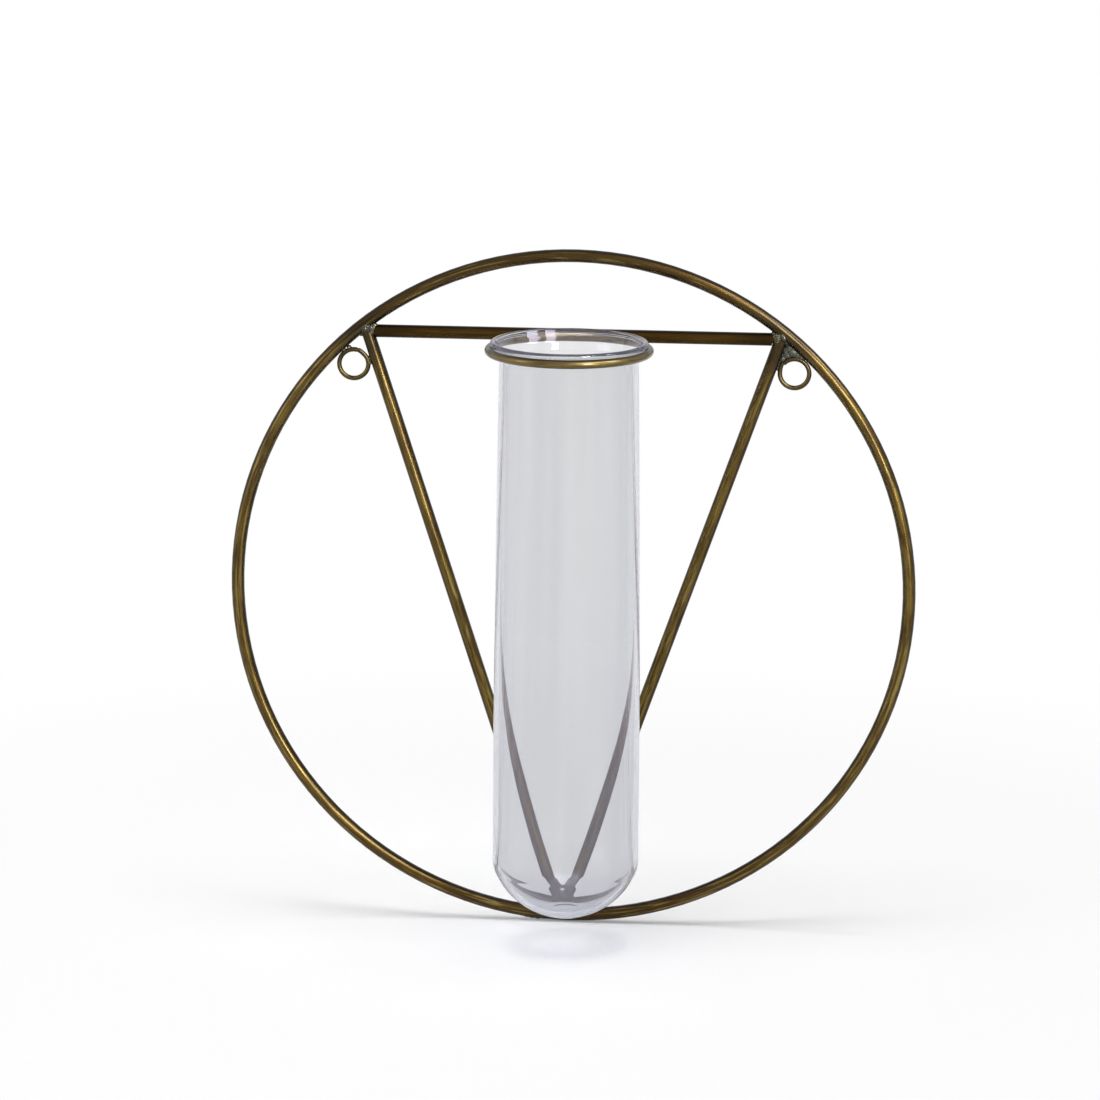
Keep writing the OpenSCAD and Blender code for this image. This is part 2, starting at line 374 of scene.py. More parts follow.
@dataclass(frozen=True)
class AgedBrass:
    """Satin brass, aged brown and olive, rubbed bright in streaks along the wire, with painted shade along
    its edges, and a ring darker at its top and bottom, partly patina and partly painted shade.

    Attributes:
        name: The material's name.
        wire_mm: The wire's thickness.
        ring_mm: Radius of the ring that the wire makes, or 0 for a straight rod.
        shadow: Colour of the painted shade along the wire's edges, and of the patina in its pits and where
            the torch was.
        brown: Colour of the darker patina.
        olive: Colour of most of the wire.
        rubbed: Colour of the streaks where the wire is rubbed.
        rub: How much of the wire is rubbed, from 0 to 1.
        gloss: Weight of the clear lacquer.
        scorched: Places that the torch darkened.
        satin: Roughness of the metal, the least and the most.
        streak: Grain of the rubbed streaks.
        fine: Grain of the fine brown lines.
        mottle: Grain of the blotches of darker patina.
        pit: Grain of the pits.
        streaks: Where the rubbed streaks show.
        rub_shift: How much lower the streaks start on a wire that is rubbed all over.
        lines: Where the brown lines show.
        blotches: Where the darker patina shows.
        ring_end_patina_and_shade: Where a ring is darker, at its top and bottom: partly darker patina,
            partly painted shade.
        edges: Where the painted shade darkens the wire's edges, from 0 at its middle to 1 at its edge.
        pits: Where the pits show.
        core: Share of a scorch's reach within which it is darkest.
        burn: How dark it is there, from 0 to 1.
        streak_mm: Relief of the streaks.
        relief_mm: Relief of the fine lines and the pits.
        pit_height: Height of the pits in that relief, against the lines.
    """

    name: str
    wire_mm: float
    ring_mm: float = 0.0
    shadow: Colour = (0.009, 0.005, 0.001)
    brown: Colour = (0.040, 0.019, 0.0025)
    olive: Colour = (0.112, 0.072, 0.012)
    rubbed: Colour = (0.245, 0.177, 0.052)
    rub: float = 0.5
    gloss: float = 0.24
    scorched: tuple[Scorch, ...] = ()
    satin: Pair = (0.28, 0.40)
    streak: Grain = Grain(1.3, 3.0, stretch=0.03)
    fine: Grain = Grain(1.35, 2.0, 0.5, 0.07)
    mottle: Grain = Grain(0.35, 4.0, stretch=0.25)
    pit: Grain = Grain(1.0, 2.0, 0.6)
    streaks: Veil = Veil(0.61, 0.76, 0.7)
    rub_shift: float = 0.2
    lines: Veil = Veil(0.48, 0.62, 0.75)
    blotches: Veil = Veil(0.44, 0.66, 0.6)
    ring_end_patina_and_shade: Veil = Veil(0.2, 0.95, 0.8)
    edges: Veil = Veil(0.55, 0.93, 0.95)
    pits: Veil = Veil(0.62, 0.76, 0.4)
    core: float = 0.35
    burn: float = 0.62
    streak_mm: float = 0.02
    relief_mm: float = 0.005
    pit_height: float = 0.8

    def heat(self, r: Recipe) -> Socket:
        """Darkens the brass where the torch was.

        Args:
            r: The material's recipe.

        Returns:
            How dark it is, from 0 to 1.
        """
        place = r.place()
        shares = []
        for scorch in self.scorched:
            away = r.vector("DISTANCE", place, tuple(scorch.joint), "Value")
            shares.append(r.veil(away, Veil(scorch.reach, scorch.reach * self.core, self.burn)))
        darkest = shares[0]
        for share in shares[1:]:
            darkest = r.math("MAXIMUM", darkest, share)
        return darkest

    def patina(self, r: Recipe, place: Socket) -> Socket:
        """Colours the patina, from olive to brown, and darkens a ring at its top and bottom, partly as
        patina and partly as painted shade.

        Args:
            r: The material's recipe.
            place: The vector along the wire, in mm.

        Returns:
            The patina's colour.
        """
        dark = r.veil(r.noise(place, self.mottle), self.blotches)
        # Partly patina, partly painted shade: a ring is darker at its top and bottom than at its sides.
        if self.ring_mm:
            turn = r.math("COSINE", r.math("DIVIDE", r.split(place)[2], self.ring_mm))
            dark = r.math("MAXIMUM", dark, r.veil(r.math("POWER", turn, 2.0), self.ring_end_patina_and_shade))
        return r.blend(dark, self.olive, self.brown)

    def make(self, path: WirePath) -> Material:
        """Makes the material for a wire.

        Args:
            path: Where the wire runs.

        Returns:
            The material.
        """
        r = Recipe(bpy.data.materials.new(self.name))
        place = path.parts(r)
        edge = r.math("DIVIDE", r.math("ABSOLUTE", r.split(place)[1]), self.wire_mm / 2)
        streak, fine, pit = (r.noise(place, grain) for grain in (self.streak, self.fine, self.pit))
        lower = self.rub_shift * self.rub
        streaks = Veil(self.streaks.low - lower, self.streaks.high - lower, self.streaks.share)
        tone = r.blend(r.veil(streak, streaks), self.patina(r, place), self.rubbed)
        tone = r.blend(r.veil(fine, self.lines), tone, self.brown)
        # Painted shade: the wire turns to the shadow colour towards its edges.
        tone = r.blend(r.veil(edge, self.edges), tone, self.shadow)
        tone = r.blend(r.veil(pit, self.pits), tone, self.shadow)
        if self.scorched:
            tone = r.blend(self.heat(r), tone, self.shadow)
        least, most = self.satin
        relief = r.math("ADD", fine, r.math("MULTIPLY", pit, self.pit_height))
        r.surface(r.node("BsdfPrincipled", {
            "Base Color": tone, "Metallic": 0.96,
            "Roughness": r.node("MapRange", {"Value": fine, "To Min": least, "To Max": most}),
            "Normal": r.bump(relief, self.relief_mm, r.bump(streak, self.streak_mm)),
            "Coat Weight": self.gloss, "Coat Roughness": 0.08, "Coat IOR": 1.5,
        }))
        return r.owner


@dataclass(frozen=True)
class BrazeMetal:
    """Lumpy brazing metal: brassy, with grey-green patina, dark crevices and pale specks.

    Attributes:
        name: The material's name.
        brassy: Colour of the bare metal.
        verdigris: Colour of the patina.
        crevice: Colour of the hollows.
        speck: Colour of the flux specks.
        lump: Grain of the patina.
        grit: Grain of the crevices.
        flake: Grain of the specks.
        patina: Where the patina shows.
        cracks: Where the crevices show.
        flecks: Where the specks show.
        finish: Values of the grit at which the metal would be mirror smooth and fully rough.
        relief_mm: Depth of the fine bumps.
    """

    name: str = "braze_metal"
    brassy: Colour = (0.112, 0.082, 0.026)
    verdigris: Colour = (0.036, 0.046, 0.036)
    crevice: Colour = (0.006, 0.008, 0.007)
    speck: Colour = (0.720, 0.720, 0.600)
    lump: Grain = Grain(0.7, 4.0)
    grit: Grain = Grain(2.4, 4.0, 0.7)
    flake: Grain = Grain(1.5, 2.0)
    patina: Veil = Veil(0.42, 0.6)
    cracks: Veil = Veil(0.44, 0.6, 0.9)
    flecks: Veil = Veil(0.63, 0.68, 0.8)
    finish: Pair = (-0.3, 1.5)
    relief_mm: float = 0.25

    def make(self) -> Material:
        """Makes the material.

        Returns:
            The material.
        """
        r = Recipe(bpy.data.materials.new(self.name))
        place = r.place_mm()
        lump, grit, flake = (r.noise(place, grain) for grain in (self.lump, self.grit, self.flake))
        tone = r.blend(r.veil(lump, self.patina), self.brassy, self.verdigris)
        tone = r.blend(r.veil(grit, self.cracks), tone, self.crevice)
        tone = r.blend(r.veil(flake, self.flecks), tone, self.speck)
        r.surface(r.node("BsdfPrincipled", {
            "Base Color": tone, "Metallic": 0.6, "Roughness": r.span(grit, *self.finish, Blend.EVEN),
            "Normal": r.bump(r.math("ADD", grit, lump), self.relief_mm),
            "Coat Weight": 0.3, "Coat Roughness": 0.2,
        }))
        return r.owner


@dataclass(frozen=True)
class TubeGlass:
    """Clear moulded glass with a faint lilac tint, a slight bloom and a few seeds.

    Attributes:
        name: The material's name.
        tint: Colour of the surface.
        band: Colour of the faint bands down it.
        seed: Colour of the seeds in the glass.
        sheen: Colour of what it reflects.
        bloom: Colour of the thin bloom on it.
        shade: What one surface lets through to its shadow.
        body: Colour of the glass itself, seen in its thickness.
        depth: How strong that colour is, for each metre of glass.
        ripple: Grain of the bands, drawn out down the tube.
        dust: Grain of the seeds.
        bands: Where the bands show.
        seeds: Where the seeds show.
        ripple_mm: Relief of the bands.
    """

    name: str = "tube_glass"
    tint: Colour = (0.868, 0.874, 0.862)
    band: Colour = (0.844, 0.844, 0.840)
    seed: Colour = (0.500, 0.490, 0.560)
    sheen: Colour = (0.840, 0.780, 1.000)
    bloom: Colour = (0.720, 0.620, 1.000)
    shade: Colour = (0.820, 0.820, 0.820)
    body: Colour = (0.400, 0.430, 0.650)
    depth: float = 60.0
    ripple: Grain = Grain(0.12, 1.0, stretch=0.04)
    dust: Grain = Grain(0.95, 1.0, 0.4)
    bands: Veil = Veil(0.4, 0.6)
    seeds: Veil = Veil(0.76, 0.79, 0.6)
    ripple_mm: float = 0.02

    def make(self) -> Material:
        """Makes the material.

        Returns:
            The material.
        """
        r = Recipe(bpy.data.materials.new(self.name))
        place = r.place_mm()
        ripple = r.noise(place, self.ripple)
        tone = r.blend(r.veil(ripple, self.bands), self.tint, self.band)
        tone = r.blend(r.veil(r.noise(place, self.dust), self.seeds), tone, self.seed)
        glass = r.node("BsdfPrincipled", {
            "Base Color": tone, "Roughness": 0.0, "IOR": 1.47, "Transmission Weight": 0.972,
            "Specular Tint": self.sheen, "Normal": r.bump(ripple, self.ripple_mm),
            "Sheen Weight": 0.07, "Sheen Roughness": 0.55, "Sheen Tint": self.bloom,
        })
        clear = r.node("BsdfTransparent", {"Color": self.shade})
        shadow = r.node("LightPath").outputs["Is Shadow Ray"]
        r.surface(r.node("MixShader", {0: shadow, 1: glass, 2: clear}))
        inside = r.node("VolumeAbsorption", {"Color": self.body, "Density": self.depth})
        r.feed(r.output.inputs["Volume"], inside)
        return r.owner


class Bench:
    """Modelling moves that the pieces share."""

    @staticmethod
    def clear() -> None:
        """Deselects everything."""
        bpy.ops.object.select_all(action="DESELECT")

    @staticmethod
    def take(*objects: Piece) -> Piece:
        """Selects objects and nothing else.

        Args:
            objects: The objects.

        Returns:
            The first of them, which becomes active.
        """
        Bench.clear()
        for item in objects:
            item.select_set(True)
        bpy.context.view_layer.objects.active = objects[0]
        return objects[0]

    @staticmethod
    def apply_place() -> None:
        """Applies the selected objects' places to their meshes."""
        bpy.ops.object.transform_apply(location=True, rotation=True, scale=True)

    @staticmethod
    def settle(piece: Piece, name: str, sharp: float | None = None) -> None:
        """Names a piece, applies its place and shades it smooth.

        Args:
            piece: The finished object.
            name: Its name.
            sharp: Edges sharper than this angle, in degrees, stay sharp, or None to smooth all.
        """
        Bench.take(piece)
        Bench.apply_place()
        if sharp is None:
            bpy.ops.object.shade_smooth()
        else:
            bpy.ops.object.shade_smooth_by_angle(angle=math.radians(sharp))
        piece.name = name
        piece.data.name = name

    @staticmethod
    def change(piece: Piece, kind: str, **settings: object) -> None:
        """Adds a modifier and applies it.

        Args:
            piece: The object.
            kind: The modifier's type.
            settings: The modifier's settings.
        """
        Bench.take(piece)
        modifier = piece.modifiers.new(kind.lower(), kind)
        for name, value in settings.items():
            setattr(modifier, name, value)
        bpy.ops.object.modifier_apply(modifier=modifier.name)

    @staticmethod
    def dress(piece: Piece, material: Material, slot: Slot, body: Body) -> None:
        """Gives a new piece its finish and the body that it rides on.

        Args:
            piece: The piece.
            material: Its material.
            slot: The record's material slot; not used.
            body: The body that it moves with.
        """
        piece.data.materials.clear()
        piece.data.materials.append(material)
        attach(piece, body.value)

    @staticmethod
    def coat(piece: Piece, material: Material) -> None:
        """Puts a material on a CAD node's object."""
        for place in piece.material_slots:
            place.material = material


@dataclass
class Rods:
    """The hoop, the cross bar, the V bars and the collar, which keep their CAD shapes.

    Attributes:
        rod_mm: Thickness of the hoop's rod and the bars.
        collar_mm: Thickness of the collar's wire.
        corner_heat: How far the torch coloured the left and the right corner of the V, in mm.
        foot_heat: How far it coloured the foot of the V, in mm.
        bar_heat: How far it coloured the ends of the cross bar, in mm.
        upwards: The way that a rod's direction points: up, or to the right where it is level.
    """

    rod_mm: float = 4.5
    collar_mm: float = 3.0
    corner_heat: Pair = (16.0, 17.0)
    foot_heat: float = 18.0
    bar_heat: float = 20.0
    upwards: Point = (0.1, 0.0, 1.0)

    def line_of(self, node: str) -> StraightPath:
        """Finds a straight rod's centre line from its points.

        Args:
            node: The rod's node.

        Returns:
            The centre line.
        """
        points = np.array([v.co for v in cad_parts[node].data.vertices], float)
        middle = (points.min(0) + points.max(0)) / 2
        along = Vector(np.linalg.svd(points - points.mean(0), full_matrices=False)[2][0])
        if along.dot(Vector(self.upwards)) < 0:
            along.negate()
        return StraightPath(Vector(middle), along)

    def ring_of(self, node: str, wire_mm: float, level: bool = False) -> RingPath:
        """Returns the centre line of a ring, from its box."""
        return RingPath(box_centre(node), box_size(node).x / 2 - wire_mm / 2 * MM, level)

    def build(self) -> list[Piece]:
        """Dresses the rods.

        Returns:
            The CAD nodes' objects.
        """
        ring = self.ring_of("hoop", self.rod_mm)
        corners = [box_centre(f"{side}_corner_braze") for side in SIDES]
        torch = [Scorch(corner, reach * MM) for corner, reach in zip(corners, self.corner_heat)]
        torch.append(Scorch(box_centre("foot_braze"), self.foot_heat * MM))
        # The ring's radius turns on the darker top and bottom: partly patina, partly painted shade.
        hoop = AgedBrass("hoop_brass", self.rod_mm, ring.radius / MM, scorched=tuple(torch))
        # The cross bar's darker colours: partly its darker patina, partly painted shade, since a level bar
        # catches less of the side lamps than an upright wire.
        bar = AgedBrass(
            "cross_bar_brass", self.rod_mm, shadow=(0.014, 0.008, 0.002), brown=(0.036, 0.017, 0.002),
            olive=(0.052, 0.027, 0.004), rubbed=(0.078, 0.047, 0.010), gloss=0.05,
            scorched=tuple(Scorch(corner, self.bar_heat * MM) for corner in corners),
        )
        collar = AgedBrass(
            "collar_brass", self.collar_mm, brown=(0.080, 0.052, 0.013), olive=(0.135, 0.095, 0.028),
            rubbed=(0.230, 0.170, 0.058), rub=0.8, gloss=0.35,
        )
        finishes = {"hoop": hoop.make(ring), "cross_bar": bar.make(self.line_of("cross_bar"))}
        for node in [f"{side}_v_bar" for side in SIDES]:
            brass = AgedBrass(f"{node}_brass", self.rod_mm, scorched=tuple(torch))
            finishes[node] = brass.make(self.line_of(node))
        finishes["tube_collar"] = collar.make(self.ring_of("tube_collar", self.collar_mm, True))
        for node, finish in finishes.items():
            Bench.coat(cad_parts[node], finish)
        return [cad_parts[node] for node in finishes]


@dataclass
class HangingEye:
    """An eye of wire, bent round a rod and sprung a little where its ends meet.

    Attributes:
        side: left or right.
        meets_at: Direction in which the ends meet, in degrees from the right, anticlockwise.
        turn: 1 where the wire starts there and runs anticlockwise, and -1 for clockwise.
        tail: Angle of the sprung end, in degrees.
        spring_mm: How far outwards the sprung end stands.
        gap: Angle between the ends, in degrees, negative where they lie against each other.
        tail_bend: Radius of the sprung end's bend, as a share of the eye's.
        rounding_mm: How far the edges of the cut ends are rounded.
        sharp: Angles of an edge that is rounded, and of one that is shaded sharp, in degrees.
        merge_mm: Distance under which points are merged.
        steps: Sections round the eye, and round its sprung end.
        wire_points: Points round the wire.
    """

    side: str
    meets_at: float
    turn: int
    tail: float
    spring_mm: float
    gap: float = -1.0
    tail_bend: float = 1.6
    rounding_mm: float = 0.35
    sharp: Pair = (60.0, 50.0)
    merge_mm: float = 0.001
    steps: tuple[int, int] = (72, 12)
    wire_points: int = 24

    @property
    def start(self) -> float:
        """Returns the direction in which the wire starts, in degrees."""
        return self.meets_at + self.turn * self.gap / 2

    @staticmethod
    def away(degrees: float) -> Vector:
        """Returns the direction of an angle, in the eye's plane."""
        angle = math.radians(degrees)
        return Vector((math.cos(angle), 0, math.sin(angle)))

    def section(self, centre: Vector, radius: float, wire: float) -> Piece:
        """Stands the wire's round section up where the wire starts.

        Args:
            centre: The eye's middle.
            radius: From there to the wire's centre line, in metres.
            wire: The wire's own radius, in metres.

        Returns:
            The section, a circle of edges.
        """
        outward, depth = self.away(self.start), Vector((0, 1, 0))
        Bench.clear()
        bpy.ops.mesh.primitive_circle_add(
            vertices=self.wire_points, radius=wire, location=centre + outward * radius
        )
        circle = bpy.context.active_object
        circle.rotation_euler = Matrix((outward, depth, outward.cross(depth))).transposed().to_euler()
        Bench.apply_place()
        return circle

    def bend(self, centre: Vector, radius: float) -> None:
        """Spins the section round the eye, and then out along a flatter bend to the sprung end.

        Args:
            centre: The eye's middle.
            radius: From there to the wire's centre line, in metres.
        """
        axis, main = (0, self.turn, 0), 360 - self.gap - self.tail
        round_eye, round_tail = self.steps
        bpy.ops.mesh.select_all(action="SELECT")
        bpy.ops.mesh.spin(steps=round_eye, angle=math.radians(main), center=centre, axis=axis)
        knee = centre + self.away(self.start + self.turn * main) * radius
        tip = centre + self.away(self.start - self.turn * self.gap) * (radius + self.spring_mm * MM)
        half, flat = (tip - knee).length / 2, radius * self.tail_bend
        out = ((knee + tip) / 2 - centre).normalized()
        out = (out - out.project(tip - knee)).normalized()
        bpy.ops.mesh.spin(
            steps=round_tail, angle=2 * math.asin(half / flat), axis=axis,
            center=(knee + tip) / 2 - out * math.sqrt(flat ** 2 - half ** 2),
        )

    def build(self) -> list[Piece]:
        """Bends the eye from a round section, closes its ends and dresses it.

        Returns:
            The eye, in a list.
        """
        node = f"{self.side}_hanging_eye"
        centre, wire = eye_middle(self.side), box_size(node).y / 2
        radius = box_size(node).z / 2 - wire
        eye = self.section(centre, radius, wire)
        bpy.ops.object.mode_set(mode="EDIT")
        self.bend(centre, radius)
        bpy.ops.mesh.select_all(action="SELECT")
        bpy.ops.mesh.remove_doubles(threshold=self.merge_mm * MM)
        bpy.ops.mesh.fill_holes(sides=0)
        bpy.ops.mesh.normals_make_consistent(inside=False)
        bpy.ops.object.mode_set(mode="OBJECT")
        rounded, shaded = self.sharp
        Bench.change(
            eye, "BEVEL", width=self.rounding_mm * MM, segments=3, limit_method="ANGLE",
            angle_limit=math.radians(rounded),
        )
        Bench.settle(eye, node + "_wire", shaded)
        finish = AgedBrass(
            f"{self.side}_eye_brass", 2 * wire / MM, brown=(0.028, 0.015, 0.003),
            olive=(0.072, 0.047, 0.011), rub=0.4,
        )
        Bench.dress(eye, finish.make(RingPath(box_centre(node), radius)), Slot.EYE, Body.HOLDER)
        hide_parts(node)
        return [eye]


@dataclass
class Braze:
    """A lump of brazing metal over a joint.

    Attributes:
        node: The CAD node that it stands for.
        blobs: Where the metal ran: (x, y, z) from the joint and radius, in mm.
        place: The joint's place, in metres.
        grain_mm: Size of its surface lumps.
        swell_mm: Height of its surface lumps.
        depth: Depth of each blob from front to back, as a share of its width.
        slot: Its material slot.
        voxel_mm: Size of the voxels in which the blobs run together.
        melt: How strongly they are smoothed together, and how often.
    """

    node: str
    blobs: list[Blob]
    place: Vector
    grain_mm: float = 0.9
    swell_mm: float = 0.4
    depth: float = 1.0
    slot: Slot = Slot.BRAZE
    voxel_mm: float = 0.14
    melt: tuple[float, int] = (0.8, 8)

    def build(self, material: Material) -> Piece:
        """Runs the blobs together into one lumpy piece.

        Args:
            material: Its material.

        Returns:
            The piece.
        """
        Bench.clear()
        made = []
        for x, y, z, radius in self.blobs:
            where = self.place + Vector((x, y, z)) * MM
            bpy.ops.mesh.primitive_ico_sphere_add(subdivisions=4, radius=radius * MM, location=where)
            bpy.ops.transform.resize(value=(1, self.depth, 1), center_override=where)
            made.append(bpy.context.active_object)
        lump = Bench.take(*made)
        bpy.ops.object.join()
        Bench.apply_place()
        share, rounds = self.melt
        clouds = bpy.data.textures.new("lumps", "CLOUDS")
        clouds.noise_scale, clouds.noise_depth = self.grain_mm * MM, 2
        Bench.change(lump, "REMESH", mode="VOXEL", voxel_size=self.voxel_mm * MM)
        Bench.change(lump, "SMOOTH", factor=share, iterations=rounds)
        Bench.change(
            lump, "DISPLACE", texture=clouds, strength=self.swell_mm * MM, mid_level=0.5,
            texture_coords="LOCAL",
        )
        Bench.settle(lump, self.node + "_lump")
        Bench.dress(lump, material, self.slot, Body.HOLDER)
        if self.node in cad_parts:
            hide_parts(self.node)
        return lump


@dataclass
class Brazing:
    """The brazing metal at every joint of the frame, in mm.

    Attributes:
        corner: Blobs at each corner of the V: (outward, back, up, radius).
        foot: Blobs round the feet of the V.
        seam: Places of the blobs along the back of the collar, and their radius.
        left_eye: Blobs round the left eye: (x, y, z) from its middle and radius.
        right_eye: Blobs of the thin web over the right eye, and of the lump on its ends.
        butt: Blobs of the weld at the bottom of the hoop: angle from the bottom, in degrees, and radius.
        corner_x: How far out the corners of the V lie from the middle of the hoop.
    """

    corner: tuple[Blob, ...] = (
        (0.5, 0, 1.1, 2.4), (-1.3, -0.2, 0.5, 2.3), (1.9, -0.1, -0.9, 1.2), (-2.4, -0.3, 1.9, 1.2),
    )
    foot: tuple[Blob, ...] = (
        (0, 0, 0.6, 2.4), (-2.8, -0.2, 0.3, 1.7), (2.9, -0.3, 0.3, 1.8), (0.1, -0.2, 1.9, 1.8),
    )
    seam: tuple[Pair, ...] = (
        (-3.6, 1.2), (-2.4, 1.25), (-1.2, 1.2), (0.0, 1.3), (1.2, 1.2), (2.4, 1.25), (3.4, 1.2),
    )
    left_eye: tuple[Blob, ...] = (
        (-1.6, 0, 5.7, 0.9), (-3.6, 0, 4.9, 0.9), (5.7, 0, 0.7, 0.9), (5.8, 0, 2.2, 1.0),
    )
    right_eye: tuple[Blob, ...] = (
        (-1.1, 0, 7.4, 1.8), (0.7, 0, 6.6, 1.5), (-2.6, 0, 6.4, 1.5), (-2.0, 0, 9.0, 1.4),
        (2.2, 0, 6.0, 1.3), (-4.3, 0, 4.9, 1.1), (-5.9, 0, 1.6, 0.8), (-3.3, 0, 8.2, 1.2),
        (-3.1, 0, 6.9, 1.2), (3.2, 0, 5.4, 0.9), (-4.3, 0, 6.4, 0.9), (-5.5, 0, 3.2, 0.8),
    )
    butt: tuple[Pair, ...] = ((4.4, 2.38), (5.4, 2.55), (6.4, 2.6), (7.3, 2.5), (8.2, 2.36))
    corner_x: float = 71.91

    def bars(self, metal: Material) -> list[Piece]:
        """Brazes the bars to the hoop, and the collar to the cross bar.

        Args:
            metal: The brazing metal.

        Returns:
            The four pieces.
        """
        hoop, bar_z = box_centre("hoop"), box_centre("cross_bar").z
        pieces = []
        for side, way in zip(SIDES, (-1, 1)):
            joint = Vector((hoop.x + way * self.corner_x * MM, hoop.y, bar_z))
            blobs = [(way * x, y, z, radius) for x, y, z, radius in self.corner]
            pieces.append(Braze(f"{side}_corner_braze", blobs, joint).build(metal))
        inner = box_size("hoop").x / 2 - box_size("hoop").y
        foot = Vector((box_centre("foot_braze").x, hoop.y, hoop.z - inner))
        pieces.append(Braze("foot_braze", list(self.foot), foot).build(metal))
        seam = [(x, 0, 0, radius) for x, radius in self.seam]
        collar = Braze("collar_braze", seam, box_centre("collar_braze"), swell_mm=0.3)
        return [*pieces, collar.build(metal)]

    def eyes(self, metal: Material) -> list[Piece]:
        """Brazes the eyes on: the left one with beads, and the right one with a thin, dull web.

        Args:
            metal: The brazing metal of the left eye.

        Returns:
            The two pieces.
        """
        web = BrazeMetal(
            "web_metal", brassy=(0.072, 0.068, 0.044), verdigris=(0.056, 0.060, 0.047),
            cracks=Veil(0.44, 0.6, 0.5), flecks=Veil(0.63, 0.68, 0.1), relief_mm=0.1,
        )
        work = zip(SIDES, (self.left_eye, self.right_eye), (1.0, 0.5), (metal, web.make()))
        return [
            Braze(f"{side}_eye_braze", list(blobs), eye_middle(side), 0.7, 0.25, depth).build(finish)
            for side, blobs, depth, finish in work
        ]

    def weld(self) -> Piece:
        """Lays the low bead over the hoop's own butt joint, in the hoop's brass.

        Returns:
            The bead.
        """
        run = (box_size("hoop").x - box_size("hoop").y) / 2 / MM
        beads = [
            (-run * math.sin(math.radians(angle)), 0, -run * math.cos(math.radians(angle)), radius)
            for angle, radius in self.butt
        ]
        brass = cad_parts["hoop"].material_slots[0].material
        return Braze("hoop_butt_weld", beads, box_centre("hoop"), 1.1, 0.12, 0.84, Slot.ROD).build(brass)

    def build(self) -> list[Piece]:
        """Runs the brazing metal over every joint, and returns the seven pieces."""
        metal = BrazeMetal().make()
        return [*self.bars(metal), *self.eyes(metal), self.weld()]


